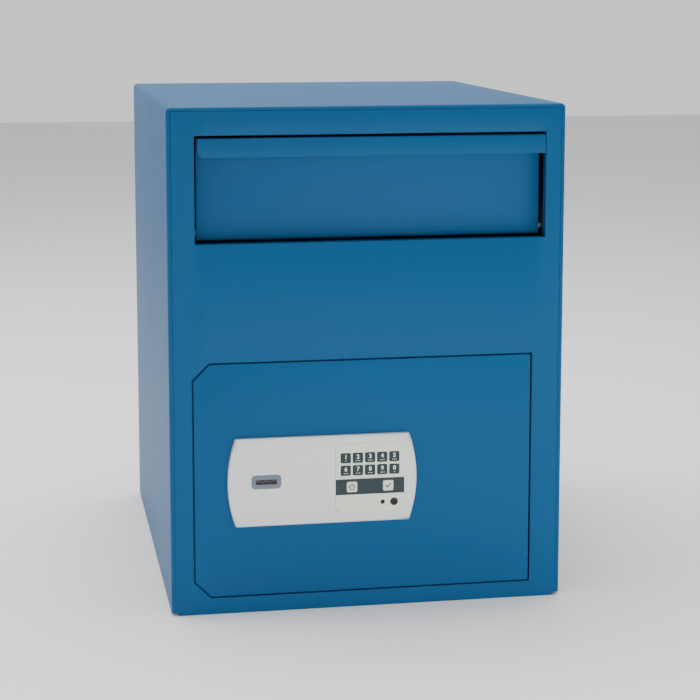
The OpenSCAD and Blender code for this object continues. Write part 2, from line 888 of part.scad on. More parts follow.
module keypad_plate() {
    color([0.78, 0.81, 0.75]) sheet_xz(-panel_t - pad_proud, -panel_t - pad_proud + pad_t)
        difference() {
            pad_outline(0);
            for (x = digit_x, z = row_z) key_outline(x, z, key_size, key_gap);
            for (x = [-fn_x, fn_x]) key_outline(pad_x + x, band_z, fn_size, key_gap);
            translate([light_x, light_z]) circle(light_r + 0.05);
            translate([socket_x, light_z]) circle(socket_r + 0.05);
        }
}

module keypad_band() {
    color([0.25, 0.33, 0.34])
        sheet_xz(-panel_t - pad_proud - band_t, -panel_t - pad_proud) difference() {
            translate([pad_x - pad_w / 2, band_z - band_h / 2]) square([pad_w, band_h]);
            for (x = [-fn_x, fn_x]) key_outline(pad_x + x, band_z, fn_size, key_gap);
        }
}

module keypad_mat() {
    back = -panel_t - pad_proud + pad_t + mat_t;
    color([0.15, 0.15, 0.16]) sheet_xz(back - mat_t, back) difference() {
        pad_outline(-1);
        translate([cable_x, cable_z]) circle(cable_r);
    }
}

module status_light() {
    color([0.05, 0.06, 0.07])
        bar_y(light_x, light_z, light_r, -panel_t - pad_proud - 0.3, -panel_t - pad_proud + pad_t);
}

module power_socket() {
    color([0.08, 0.09, 0.1]) difference() {
        bar_y(socket_x, light_z, socket_r, -panel_t - pad_proud - 0.4,
            -panel_t - pad_proud + pad_t);
        bar_y(socket_x, light_z, 1.75, -panel_t - pad_proud - 1, -panel_t);
    }
}

module digit_key(column, row) {
    color([0.22, 0.29, 0.31]) sheet_xz(-key_front, -key_front + key_t)
        key_outline(digit_x[column], row_z[row], key_size, 0);
}

module function_key(x) {
    color([0.80, 0.83, 0.78]) sheet_xz(-key_front, -key_front + key_t)
        key_outline(pad_x + x, band_z, fn_size, 0);
}

// ---------------------------------------------------------------- electronics

cell_r = 7.1;
cell_len = 50;
holder_w = 64;
holder_x = cover_right - holder_w - 20;
holder_z = cover_low + 4;
cell_x = [for (i = [0:3]) holder_x + 9.5 + i * 15];

module battery_holder() {
    color([0.1, 0.1, 0.11]) difference() {
        block(holder_x, holder_x + holder_w, door_t, door_t + 12, holder_z, holder_z + cell_len + 4);
        block(holder_x + 2, holder_x + holder_w - 2, door_t + 1.8, door_t + 13, holder_z + 1.9,
            holder_z + cell_len + 2.1);
    }
}

module batteries() {
    color([0.75, 0.75, 0.72]) for (x = cell_x)
        at(x, door_t + 1.8 + cell_r, holder_z + 2) cylinder(h = cell_len, r = cell_r);
}

module circuit_board() {
    color([0.1, 0.4, 0.25]) {
        block(pad_x - 32, pad_x + 34, door_t + 3, door_t + 4.6, panel_z + 6, panel_z + 70);
        for (x = [pad_x - 28, pad_x + 30], z = [panel_z + 10, panel_z + 66]) bar_y(x, z, 2, door_t, door_t + 3);
        block(pad_x - 20, pad_x - 4, door_t + 4.6, door_t + 7, panel_z + 30, panel_z + 46);
        block(pad_x + 8, pad_x + 28, door_t + 4.6, door_t + 11, panel_z + 12, panel_z + 20);
    }
}

body_wrapper();
front_plate();
base_plate();
back_panel();
door_frame();
hopper_surround();
hopper_brackets();
hopper_bushes();
fishing_baffle();
hinge_brackets();
hinge_pins();
hinge_washers();
hopper_front();
hopper_sides();
hopper_tray();
hopper_counterweight();
hopper_pins();
hopper_rivets();
door_panel();
hinge_arms();
bolt_guide();
lock_cover();
cover_posts();
cover_screws();
lock_panel();
panel_studs();
panel_nuts();
key_escutcheon();
key_lock_case();
motor_bracket();
gearbox();
motor();
battery_holder();
batteries();
circuit_board();
keypad_plate();
keypad_band();
keypad_mat();
status_light();
power_socket();
key_barrel();
key_cam();
bolt_bar();
locking_bolts();
bolt_nuts();
drive_pinion();
digit_key(0, 0);  // key_1
digit_key(1, 0);  // key_2
digit_key(2, 0);  // key_3
digit_key(3, 0);  // key_4
digit_key(4, 0);  // key_5
digit_key(0, 1);  // key_6
digit_key(1, 1);  // key_7
digit_key(2, 1);  // key_8
digit_key(3, 1);  // key_9
digit_key(4, 1);  // key_0
function_key(-fn_x);  // key_power
function_key(fn_x);  // key_confirm
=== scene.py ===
import math

import bpy
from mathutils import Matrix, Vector


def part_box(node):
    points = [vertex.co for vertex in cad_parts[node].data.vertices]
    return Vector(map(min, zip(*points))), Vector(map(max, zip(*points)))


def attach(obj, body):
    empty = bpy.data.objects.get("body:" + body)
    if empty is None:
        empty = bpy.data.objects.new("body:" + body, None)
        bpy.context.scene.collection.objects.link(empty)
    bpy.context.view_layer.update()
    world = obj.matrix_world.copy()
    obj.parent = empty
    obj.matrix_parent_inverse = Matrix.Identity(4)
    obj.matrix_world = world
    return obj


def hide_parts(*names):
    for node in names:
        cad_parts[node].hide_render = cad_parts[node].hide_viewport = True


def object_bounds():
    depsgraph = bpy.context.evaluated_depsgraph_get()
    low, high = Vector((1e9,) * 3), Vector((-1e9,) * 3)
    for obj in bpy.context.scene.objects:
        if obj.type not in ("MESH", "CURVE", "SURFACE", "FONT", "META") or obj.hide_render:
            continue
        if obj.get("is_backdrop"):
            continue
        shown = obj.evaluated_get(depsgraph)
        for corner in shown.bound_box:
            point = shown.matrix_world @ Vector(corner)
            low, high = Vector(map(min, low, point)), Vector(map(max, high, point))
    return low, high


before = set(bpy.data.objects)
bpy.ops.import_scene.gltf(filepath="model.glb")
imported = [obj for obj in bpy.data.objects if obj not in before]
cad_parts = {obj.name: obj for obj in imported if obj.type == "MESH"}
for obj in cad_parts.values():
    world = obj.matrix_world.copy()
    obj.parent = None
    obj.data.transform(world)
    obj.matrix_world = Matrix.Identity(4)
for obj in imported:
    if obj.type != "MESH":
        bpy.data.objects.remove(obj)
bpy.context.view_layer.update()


# The camera stands in front of the box, to its left and a little above its roof. Its lens
# is shifted down a little, so that it tilts less and upright edges stay close to upright.
wrapper_low, wrapper_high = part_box("body_wrapper")
FACE_Y = wrapper_low.y
CAMERA_LEFT = 0.3455
CAMERA_DISTANCE = 1.829
CAMERA_HEIGHT = 0.62
LOOK_DOWN = math.radians(7.87)
LOOK_RIGHT = math.radians(10.11)
bpy.ops.object.camera_add(
    location=(-CAMERA_LEFT, FACE_Y - CAMERA_DISTANCE, CAMERA_HEIGHT),
    rotation=(math.pi / 2 - LOOK_DOWN, 0, -LOOK_RIGHT),
)
camera = bpy.context.object
camera.name = "camera"
camera.data.sensor_width = 36
camera.data.lens = 97.54
camera.data.shift_y = -0.14
bpy.context.scene.camera = camera


# Studio: a pale floor, one large soft light overhead, one to the left, a weak one in front
# and a low strip for the foot of the box, so that the roof and left side are bright.
def soft_light(name, place, aim, size, power):
    direction = Vector(aim) - Vector(place)
    turn = direction.to_track_quat("-Z", "Y").to_euler()
    bpy.ops.object.light_add(type="AREA", location=place, rotation=turn)
    light = bpy.context.object
    light.name = name
    light.data.shape = "RECTANGLE"
    light.data.size, light.data.size_y = size
    light.data.energy = power
    return light


bpy.ops.mesh.primitive_plane_add(size=14, location=(0, 0, 0))
floor = bpy.context.object
floor.name = "studio_floor"
floor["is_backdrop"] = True
MIDDLE = (0, 0, 0.3)
soft_light("overhead_light", (-0.2, 0.2, 2.6), MIDDLE, size=(2.4, 2.4), power=80)
soft_light("left_light", (-2.6, 0.9, 1.2), MIDDLE, size=(2.0, 1.8), power=30)
soft_light("front_light", (-0.6, -3.2, 1.6), (0, 0, 0.25), size=(2.2, 1.6), power=16)
low_light = soft_light("low_light", (0.5, -1.3, 0.12), (0.15, 0, 0), size=(1.4, 0.22), power=8)
low_light.visible_camera = False
low_light.visible_glossy = False

# The room is white behind and above the box and grey in front of it, so that the front
# of the box, which mirrors that part of the room, stays deep blue.
ROOM_COLOUR = (0.97, 0.985, 1, 1)
HEIGHT_SHARE = 0.8
world = bpy.data.worlds.new("studio")
world.use_nodes = True
tree = world.node_tree
direction = tree.nodes.new("ShaderNodeTexCoord")
split = tree.nodes.new("ShaderNodeSeparateXYZ")
ramp = tree.nodes.new("ShaderNodeMapRange")
ramp.interpolation_type = "SMOOTHSTEP"
tree.links.new(direction.outputs["Generated"], split.inputs[0])
tilt = tree.nodes.new("ShaderNodeMath")
tilt.operation = "MULTIPLY_ADD"
tilt.inputs[1].default_value = HEIGHT_SHARE
tree.links.new(split.outputs["Z"], tilt.inputs[0])
tree.links.new(split.outputs["Y"], tilt.inputs[2])
tree.links.new(tilt.outputs[0], ramp.inputs["Value"])
for socket, value in (("From Min", -0.1), ("From Max", 0.5), ("To Min", 0.1), ("To Max", 0.95)):
    ramp.inputs[socket].default_value = value
tree.links.new(ramp.outputs["Result"], tree.nodes["Background"].inputs["Strength"])
tree.nodes["Background"].inputs["Color"].default_value = ROOM_COLOUR
bpy.context.scene.world = world


# Outer shell: one sheet of steel bent round both sides and the roof, with flanges turned
# in at the bottom, its front rim ground round, and powder coated blue all over.
MM = 0.001


class Signal:
    """A value on its way through a material. Arithmetic on it adds Math nodes."""

    def __init__(self, tree, socket=None):
        self.tree = tree
        self.socket = socket

    def node(self, kind, settings=None, inputs=None, output=0):
        made = self.tree.nodes.new("ShaderNode" + kind)
        for name, value in (settings or {}).items():
            setattr(made, name, value)
        for name, value in (inputs or {}).items():
            if isinstance(value, Signal):
                self.tree.links.new(value.socket, made.inputs[name])
            else:
                made.inputs[name].default_value = value
        return Signal(self.tree, made.outputs[output])

    def maths(self, operation, *terms):
        return self.node("Math", {"operation": operation}, dict(enumerate(terms)))

    def __add__(self, other):
        return self.maths("ADD", self, other)

    def __mul__(self, other):
        return self.maths("MULTIPLY", self, other)

    __radd__ = __add__
    __rmul__ = __mul__

    def span(self, low, high):
        """The same value, stretched so that 0..1 becomes low..high."""
        return self * (high - low) + low

    def mix(self, first, second):
        """Blends two colours, with this value as the share of the second."""
        return self.node(
            "Mix", {"data_type": "RGBA"}, {0: self, 6: first, 7: second}, output=2
        )


def new_material(name, slot_colour):
    material = bpy.data.materials.new(name)
    material.use_nodes = True
    material.diffuse_color = slot_colour
    return material, Signal(material.node_tree)


def noise(canvas, scale, detail=2, stretch=(1, 1, 1)):
    place = canvas.node("TexCoord", output="Object")
    place = canvas.node("Mapping", {}, {"Vector": place, "Scale": stretch})
    return canvas.node(
        "TexNoise", {}, {"Vector": place, "Scale": scale, "Detail": detail}, output="Fac"
    )


def set_surface(canvas, values, bump=None, bump_depth=0.0001, bump_strength=1):
    shader = canvas.tree.nodes["Principled BSDF"]
    if bump is not None:
        inputs = {"Height": bump, "Strength": bump_strength, "Distance": bump_depth}
        values = dict(values, Normal=canvas.node("Bump", {}, inputs))
    for name, value in values.items():
        if isinstance(value, Signal):
            canvas.tree.links.new(value.socket, shader.inputs[name])
        else:
            shader.inputs[name].default_value = value


def shaded(colour, amount):
    """The same colour, lighter or darker by a share of itself."""
    return tuple(min(1, channel * (1 + amount)) for channel in colour[:3]) + (1,)


def powder_coat(name, colour, roughness=0.47):
    material, canvas = new_material(name, colour)
    cloud = noise(canvas, 7, 3)
    grain = noise(canvas, 420, 2)
    tint = cloud.mix(shaded(colour, -0.05), shaded(colour, 0.05))
    surface = {
        "Base Color": grain.mix(tint, shaded(colour, 0.12)),
        "Roughness": (cloud * 0.6 + grain * 0.4).span(roughness - 0.06, roughness + 0.06),
        "IOR": 1.4,
        "Specular IOR Level": 0.32,
    }
    set_surface(canvas, surface, bump=grain, bump_depth=0.00012, bump_strength=0.35)
    return material


BLUE = (0.002, 0.076, 0.2, 1)
blue_coat = powder_coat("blue_powder_coat", BLUE)


def clear_selection():
    if bpy.context.object and bpy.context.object.mode == "EDIT":
        bpy.ops.object.mode_set(mode="OBJECT")
    bpy.ops.object.select_all(action="DESELECT")


def add_block(name, low, high):
    """Adds a cube between two corners, its place in its mesh, and leaves it active."""
    clear_selection()
    low, high = Vector(low), Vector(high)
    bpy.ops.mesh.primitive_cube_add(size=1, location=(low + high) / 2)
    piece = bpy.context.object
    piece.name = name
    piece.scale = high - low
    bpy.ops.object.transform_apply(location=True, rotation=True, scale=True)
    return piece


def pick(piece, kind, test):
    """Leaves the piece in edit mode with only those faces, edges or points selected."""
    bpy.context.view_layer.objects.active = piece
    bpy.ops.object.mode_set(mode="EDIT")
    bpy.ops.mesh.select_mode(type=kind)
    bpy.ops.mesh.select_all(action="DESELECT")
    bpy.ops.object.mode_set(mode="OBJECT")
    mesh = piece.data
    points = [point.co for point in mesh.vertices]
    if kind == "VERT":
        for point in mesh.vertices:
            point.select = bool(test(point.co))
    if kind == "EDGE":
        for edge in mesh.edges:
            start, end = (points[index] for index in edge.vertices)
            edge.select = bool(test(start, end))
    if kind == "FACE":
        for face in mesh.polygons:
            face.select = bool(test(face.center, face.normal))
    bpy.ops.object.mode_set(mode="EDIT")


def near(value, target, slack=0.00002):
    return abs(value - target) < slack


def cut(piece, point, normal, test=None):
    """Bisects the faces that pass the test, or all of them, along a plane."""
    pick(piece, "FACE", test or (lambda centre, direction: True))
    bpy.ops.mesh.bisect(plane_co=point, plane_no=normal)
    bpy.ops.object.mode_set(mode="OBJECT")


def remove_faces(piece, test):
    pick(piece, "FACE", test)
    bpy.ops.mesh.delete(type="FACE")
    bpy.ops.object.mode_set(mode="OBJECT")


def round_edges(piece, test, radius, segments=4):
    pick(piece, "EDGE", test)
    bpy.ops.mesh.bevel(offset=radius, segments=segments, affect="EDGES")
    bpy.ops.object.mode_set(mode="OBJECT")


def thicken(piece, thickness):
    """Gives a sheet its thickness, behind its faces."""
    solid = piece.modifiers.new("thickness", "SOLIDIFY")
    solid.thickness = thickness
    solid.offset = -1
    solid.use_even_offset = True
    bpy.context.view_layer.objects.active = piece
    bpy.ops.object.modifier_apply(modifier=solid.name)


def hand_over(piece, body, material, replaced=()):
    """Smooths the piece, gives it its material, and puts it on its CAD body."""
    clear_selection()
    piece.select_set(True)
    bpy.context.view_layer.objects.active = piece
    bpy.ops.object.shade_smooth_by_angle(angle=math.radians(40))
    piece.data.materials.clear()
    piece.data.materials.append(material)
    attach(piece, body)
    if replaced:
        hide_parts(*replaced)
    return piece


front_low, front_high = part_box("front_plate")
PLATE_T = front_high.y - front_low.y
SHEET = wrapper_high.x - front_high.x
BEND = SHEET + 1 * MM
FLANGE = 25 * MM
OUTER_ROUND = SHEET * 0.7
RIM_ROUND = 0.9 * MM
INNER_X = wrapper_high.x - SHEET
INNER_Z = wrapper_high.z - SHEET

shell = add_block("outer_shell", wrapper_low, wrapper_high)
remove_faces(shell, lambda centre, normal: abs(normal.y) > 0.5 or normal.z < -0.5)
round_edges(
    shell,
    lambda a, b: near(a.z, wrapper_high.z) and near(b.z, wrapper_high.z) and near(a.x, b.x),
    BEND,
    segments=6,
)
for side in (-1, 1):
    edge_x = side * wrapper_high.x
    pick(
        shell,
        "EDGE",
        lambda a, b: near(a.z, wrapper_low.z) and near(b.z, wrapper_low.z) and near(a.x, edge_x),
    )
    bpy.ops.mesh.extrude_region_move(
        TRANSFORM_OT_translate={"value": (-side * (FLANGE + SHEET), 0, 0)}
    )
    bpy.ops.object.mode_set(mode="OBJECT")


def on_flange(centre, normal):
    return near(centre.z, wrapper_low.z)


def on_outer_rim(point):
    """True on the front edge of the sheet's outer side, its bends included."""
    past_wall = max(abs(point.x) - wrapper_high.x, point.z - wrapper_high.z)
    return near(point.y, FACE_Y) and past_wall > -BEND * 0.32


def on_inner_rim(point):
    """True on the front edge of the sheet's inner side, its bends included."""
    past_wall = max(abs(point.x) - INNER_X, point.z - INNER_Z)
    return near(point.y, FACE_Y) and near(past_wall, 0, 0.6 * MM)


cut(shell, (0, FACE_Y + PLATE_T, 0), (0, 1, 0), on_flange)
remove_faces(
    shell, lambda centre, normal: on_flange(centre, normal) and centre.y < FACE_Y + PLATE_T
)
thicken(shell, SHEET)
round_edges(
    shell, lambda a, b: on_outer_rim(a) and on_outer_rim(b), OUTER_ROUND, segments=5
)
round_edges(shell, lambda a, b: on_inner_rim(a) and on_inner_rim(b), RIM_ROUND, segments=3)
hand_over(shell, "case", blue_coat, ["body_wrapper"])


# Front plate: thick sheet welded in behind the shell's rim, with the hopper's mouth and
# the doorway laser cut in it and its foot reaching down in front of the base plate.
def soften(piece, radius, segments=3, angle=35):
    bevel = piece.modifiers.new("edges", "BEVEL")
    bevel.width = radius
    bevel.segments = segments
    bevel.limit_method = "ANGLE"
    bevel.angle_limit = math.radians(angle)
    bpy.context.view_layer.objects.active = piece
    bpy.ops.object.modifier_apply(modifier=bevel.name)


mouth_low, mouth_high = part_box("hopper_surround")
door_low, door_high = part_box("door_panel")
base_low, base_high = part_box("base_plate")
RETURN_SHEET = 1.5 * MM
DOOR_GAP = 1.6 * MM
CHAMFER = 16 * MM

mouth_x = (mouth_low.x + RETURN_SHEET, mouth_high.x - RETURN_SHEET)
mouth_z = (mouth_low.z + RETURN_SHEET, mouth_high.z - RETURN_SHEET)
doorway_x = (door_low.x - DOOR_GAP, door_high.x + DOOR_GAP)
doorway_z = (door_low.z - DOOR_GAP, door_high.z + DOOR_GAP)
corner_leg = CHAMFER + DOOR_GAP * (2 - math.sqrt(2))

clear_selection()
bpy.ops.mesh.primitive_plane_add(size=1, rotation=(math.radians(90), 0, 0))
plate = bpy.context.object
plate.name = "front_face_plate"
plate.location = ((front_low.x + front_high.x) / 2, FACE_Y, (front_low.z + front_high.z) / 2)
plate.scale = (front_high.x - front_low.x, front_high.z - front_low.z, 1)
bpy.ops.object.transform_apply(location=True, rotation=True, scale=True)
for x in mouth_x + doorway_x + (doorway_x[0] + corner_leg, base_low.x, base_high.x):
    cut(plate, (x, 0, 0), (1, 0, 0))
for z in mouth_z + doorway_z + (
    doorway_z[0] + corner_leg,
    doorway_z[1] - corner_leg,
    wrapper_low.z,
):
    cut(plate, (0, 0, z), (0, 0, 1))


def inside(centre, xs, zs):
    return xs[0] < centre.x < xs[1] and zs[0] < centre.z < zs[1]


def in_corner(centre, low_corner):
    cut_x = (doorway_x[0], doorway_x[0] + corner_leg)
    if low_corner:
        return inside(centre, cut_x, (doorway_z[0], doorway_z[0] + corner_leg))
    return inside(centre, cut_x, (doorway_z[1] - corner_leg, doorway_z[1]))


for low_corner in (True, False):
    cut(
        plate,
        (doorway_x[0] + corner_leg, 0, doorway_z[0 if low_corner else 1]),
        (1, 0, 1 if low_corner else -1),
        lambda centre, normal: in_corner(centre, low_corner),
    )


def open_in_plate(centre, normal):
    if inside(centre, mouth_x, mouth_z):
        return True
    if centre.z < wrapper_low.z and not base_low.x < centre.x < base_high.x:
        return True
    if not inside(centre, doorway_x, doorway_z):
        return False
    from_edge = centre.x - doorway_x[0]
    return (
        from_edge + centre.z - doorway_z[0] > corner_leg
        and from_edge + doorway_z[1] - centre.z > corner_leg
    )


remove_faces(plate, open_in_plate)
thicken(plate, PLATE_T)


def on_plate_rim(point):
    at_side = near(abs(point.x), front_high.x)
    return near(point.y, FACE_Y) and (at_side or near(point.z, front_high.z))


round_edges(plate, lambda a, b: on_plate_rim(a) and on_plate_rim(b), RIM_ROUND, segments=3)
soften(plate, 0.35 * MM, segments=2, angle=50)
hand_over(plate, "case", blue_coat, ["front_plate"])


# Collection door: plain sheet with two corners cut off on the lock side, hung flush in
# the doorway, its edges rolled over a little by the powder coat.
door = add_block("collection_door", door_low, door_high)
round_edges(
    door,
    lambda a, b: near(a.x, door_low.x) and near(b.x, door_low.x) and near(a.z, b.z),
    CHAMFER,
    segments=1,
)
soften(door, 0.45 * MM, segments=3, angle=30)
hand_over(door, "door", blue_coat, ["door_panel"])


# Hopper front: one sheet folded twice, with the sunk panel behind, a narrow roof over the
# recess and the finger lip hanging in front, its lower left corner rounded.
def recoat(material, *names):
    """Gives CAD nodes a material."""
    for name in names:
        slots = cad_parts[name].data.materials
        slots.clear()
        slots.append(material)


hopper_low, hopper_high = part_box("hopper_front")
HOPPER_SHEET = 1.5 * MM
LIP_DROP = 19 * MM
LIP_CORNER = 7 * MM
FOLD = 2.2 * MM
panel_right = mouth_x[1] - 3 * MM

clear_selection()
bpy.ops.mesh.primitive_plane_add(size=1, rotation=(math.radians(-90), 0, 0))
hopper = bpy.context.object
hopper.name = "hopper_panel_and_lip"
hopper.location = (
    (hopper_low.x + panel_right) / 2,
    hopper_high.y,
    (hopper_low.z + hopper_high.z) / 2,
)
hopper.scale = (panel_right - hopper_low.x, hopper_high.z - hopper_low.z, 1)
bpy.ops.object.transform_apply(location=True, rotation=True, scale=True)
pick(hopper, "EDGE", lambda a, b: near(a.z, hopper_high.z) and near(b.z, hopper_high.z))
bpy.ops.mesh.extrude_region_move(
    TRANSFORM_OT_translate={"value": (0, hopper_low.y - hopper_high.y, 0)}
)
bpy.ops.mesh.extrude_region_move(TRANSFORM_OT_translate={"value": (0, 0, -LIP_DROP)})
bpy.ops.object.mode_set(mode="OBJECT")
pick(hopper, "VERT", lambda p: near(p.y, hopper_low.y) and near(p.x, panel_right))
bpy.ops.transform.translate(value=(hopper_high.x - panel_right, 0, 0))
bpy.ops.object.mode_set(mode="OBJECT")
pick(
    hopper,
    "VERT",
    lambda p: near(p.y, hopper_low.y)
    and near(p.z, hopper_high.z - LIP_DROP)
    and near(p.x, hopper_low.x),
)
bpy.ops.mesh.bevel(offset=LIP_CORNER, segments=7, affect="VERTICES")
bpy.ops.object.mode_set(mode="OBJECT")
round_edges(
    hopper,
    lambda a, b: near(a.z, hopper_high.z) and near(b.z, hopper_high.z) and near(a.y, b.y),
    FOLD,
)
thicken(hopper, HOPPER_SHEET)
soften(hopper, 0.3 * MM, segments=2, angle=50)
hand_over(hopper, "hopper", blue_coat, ["hopper_front"])

recoat(
    blue_coat,
    "base_plate",
    "back_panel",
    "door_frame",
    "hopper_surround",
    "hopper_sides",
    "hopper_tray",
)


# Lock panel: a thick die-cast plate with bowed ends, its rim rounded and painted silver
# all over, held by studs that pass through the door.
def painted_metal(name, colour):
    material, canvas = new_material(name, colour)
    cloud = noise(canvas, 16, 3)
    grain = noise(canvas, 700, 2)
    tint = cloud.mix(shaded(colour, -0.04), shaded(colour, 0.04))
    surface = {
        "Base Color": grain.mix(shaded(colour, -0.06), tint),
        "Roughness": (grain * 0.7 + cloud * 0.3).span(0.3, 0.46),
        "Metallic": 0.5,
    }
    set_surface(canvas, surface, bump=grain, bump_depth=0.00005, bump_strength=0.3)
    return material


def add_plane(name, low, high, y):
    """Adds an upright plane at depth y, facing the front, between two (x, z) corners."""
    clear_selection()
    bpy.ops.mesh.primitive_plane_add(
        size=1,
        location=((low[0] + high[0]) / 2, y, (low[1] + high[1]) / 2),
        rotation=(math.radians(90), 0, 0),
    )
    piece = bpy.context.object
    piece.name = name
    piece.scale = (high[0] - low[0], high[1] - low[1], 1)
    bpy.ops.object.transform_apply(location=True, rotation=True, scale=True)
    return piece


def round_corners(piece, test, radius, segments=6):
    pick(piece, "VERT", test)
    bpy.ops.mesh.bevel(offset=radius, segments=segments, affect="VERTICES")
    bpy.ops.object.mode_set(mode="OBJECT")


def pull_out(piece, depth):
    """Pulls a flat outline out towards the front and closes it into a solid."""
    pick(piece, "FACE", lambda centre, normal: True)
    bpy.ops.mesh.extrude_region_move(TRANSFORM_OT_translate={"value": (0, -depth, 0)})
    bpy.ops.mesh.select_all(action="SELECT")
    bpy.ops.mesh.normals_make_consistent(inside=False)
    bpy.ops.object.mode_set(mode="OBJECT")


def round_rim(piece, rim, segments=3):
    """Rounds the front rim of a solid made by pull_out."""
    pick(piece, "FACE", lambda centre, normal: normal.y < -0.9)
    bpy.ops.mesh.region_to_loop()
    bpy.ops.mesh.bevel(offset=rim, segments=segments, affect="EDGES")
    bpy.ops.object.mode_set(mode="OBJECT")


def carve(piece, *cutters):
    """Takes the cutters out of the piece."""
    for cutter in cutters:
        hole = piece.modifiers.new("hole", "BOOLEAN")
        hole.object = cutter
        hole.operation = "DIFFERENCE"
        hole.solver = "MANIFOLD"
        clear_selection()
        bpy.context.view_layer.objects.active = piece
        bpy.ops.object.modifier_apply(modifier=hole.name)
        bpy.data.objects.remove(cutter)


def rounded_block(name, low, high, back, front, radius):
    """Adds a plate with rounded corners between two (x, z) corners and two depths."""
    piece = add_plane(name, low, high, back)
    round_corners(piece, lambda p: True, radius)
    pull_out(piece, back - front)
    return piece


panel_low, panel_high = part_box("lock_panel")
PANEL_X = (panel_low.x + panel_high.x) / 2
PANEL_Z = (panel_low.z + panel_high.z) / 2
PANEL_BULGE = 7.8 * MM
PANEL_CORNER = 4 * MM
PANEL_RIM = 1.8 * MM
half_width = (panel_high.x - panel_low.x) / 2
half_height = (panel_high.z - panel_low.z) / 2
bow = half_height**2 / (2 * PANEL_BULGE) + PANEL_BULGE / 2
plate_low, plate_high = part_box("key_escutcheon")
slot_x = (plate_low.x + plate_high.x) / 2
slot_z = (plate_low.z + plate_high.z) / 2
SLOT_HALF = (10.6 * MM, 2.5 * MM)
pad_low, pad_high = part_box("keypad_plate")
PAD_GAP = 0.1 * MM


def slot_hole(back, front):
    """A cutter for the key slot, from one depth to another."""
    return rounded_block(
        "slot_hole",
        (slot_x - SLOT_HALF[0], slot_z - SLOT_HALF[1]),
        (slot_x + SLOT_HALF[0], slot_z + SLOT_HALF[1]),
        back,
        front,
        1 * MM,
    )


clear_selection()
bpy.ops.mesh.primitive_circle_add(
    vertices=720,
    radius=bow,
    fill_type="NGON",
    location=(PANEL_X + half_width - bow, panel_high.y, PANEL_Z),
    rotation=(math.radians(90), 0, 0),
)
lock_panel = bpy.context.object
lock_panel.name = "lock_panel_casting"
bpy.ops.object.transform_apply(location=True, rotation=True, scale=True)
for point, direction in (
    ((PANEL_X, 0, 0), (-1, 0, 0)),
    ((0, 0, panel_high.z), (0, 0, 1)),
    ((0, 0, panel_low.z), (0, 0, -1)),
):
    pick(lock_panel, "FACE", lambda centre, normal: True)
    bpy.ops.mesh.bisect(plane_co=point, plane_no=direction, clear_outer=True)
    bpy.ops.object.mode_set(mode="OBJECT")
round_corners(
    lock_panel,
    lambda p: p.x > PANEL_X + half_width / 2
    and (near(p.z, panel_high.z) or near(p.z, panel_low.z)),
    PANEL_CORNER,
    segments=8,
)
half = lock_panel.modifiers.new("other_end", "MIRROR")
bpy.ops.object.empty_add(location=(PANEL_X, 0, 0))
middle = bpy.context.object
half.mirror_object = middle
bpy.context.view_layer.objects.active = lock_panel
bpy.ops.object.modifier_apply(modifier=half.name)
bpy.data.objects.remove(middle)
pick(lock_panel, "EDGE", lambda a, b: near(a.x, PANEL_X) and near(b.x, PANEL_X))
bpy.ops.mesh.dissolve_edges()
bpy.ops.object.mode_set(mode="OBJECT")
pull_out(lock_panel, panel_high.y - panel_low.y)
round_rim(lock_panel, PANEL_RIM, segments=5)

# The face is divided first, so that no cutter leaves a hole in the middle of a face.
INSET = 10 * MM
for x in (slot_x, slot_x + 3 * INSET, pad_low.x + INSET, pad_high.x - INSET):
    cut(lock_panel, (x, 0, 0), (1, 0, 0))
for z in (pad_low.z + INSET, slot_z, pad_high.z - INSET):
    cut(lock_panel, (0, 0, z), (0, 0, 1))
carve(
    lock_panel,
    rounded_block(
        "pad_pocket",
        (pad_low.x - PAD_GAP, pad_low.z - PAD_GAP),
        (pad_high.x + PAD_GAP, pad_high.z + PAD_GAP),
        pad_high.y + 1 * MM,
        panel_low.y - 2 * MM,
        5 * MM,
    ),
    slot_hole(panel_high.y + 1 * MM, panel_low.y - 2 * MM),
)
silver = painted_metal("silver_paint", (0.78, 0.8, 0.79, 1))
hand_over(lock_panel, "door", silver, ["lock_panel"])


# Key slot: a grey moulded surround glued on the panel; just inside it, a black plate as painted
# shade for the depth of the keyhole, and the wavy double-bitted keyway, its metal darkened by
# painted shade.
def moulded(name, colour, roughness, speckle=0.08):
    material, canvas = new_material(name, colour)
    cloud = noise(canvas, 30, 2)
    grain = noise(canvas, 900, 2)
    surface = {
        "Base Color": (cloud * 0.5 + grain * 0.5).mix(
            shaded(colour, -speckle), shaded(colour, speckle)
        ),
        "Roughness": grain.span(roughness - 0.08, roughness + 0.1),
    }
    set_surface(canvas, surface, bump=grain, bump_depth=0.00006, bump_strength=0.4)
    return material


escutcheon = rounded_block(
    "key_slot_surround",
    (plate_low.x, plate_low.z),
    (plate_high.x, plate_high.z),
    plate_high.y,
    plate_low.y,
    4 * MM,
)
round_rim(escutcheon, 0.4 * MM)
carve(escutcheon, slot_hole(plate_high.y + 1 * MM, plate_low.y - 1 * MM))
hand_over(
    escutcheon,
    "door",
    moulded("escutcheon_plastic", (0.14, 0.175, 0.235, 1), roughness=0.4),
    ["key_escutcheon"],
)

# A black plate just behind the panel's face closes the keyhole: painted shade for the depth of the
# hole.
keyhole_shade_plate = add_block(
    "key_slot_painted_shade",
    (slot_x - SLOT_HALF[0], panel_low.y + 1.6 * MM, slot_z - SLOT_HALF[1]),
    (slot_x + SLOT_HALF[0], panel_low.y + 2.4 * MM, slot_z + SLOT_HALF[1]),
)
black = moulded("black_plastic", (0.012, 0.013, 0.015, 1), roughness=0.38)
hand_over(keyhole_shade_plate, "door", black)

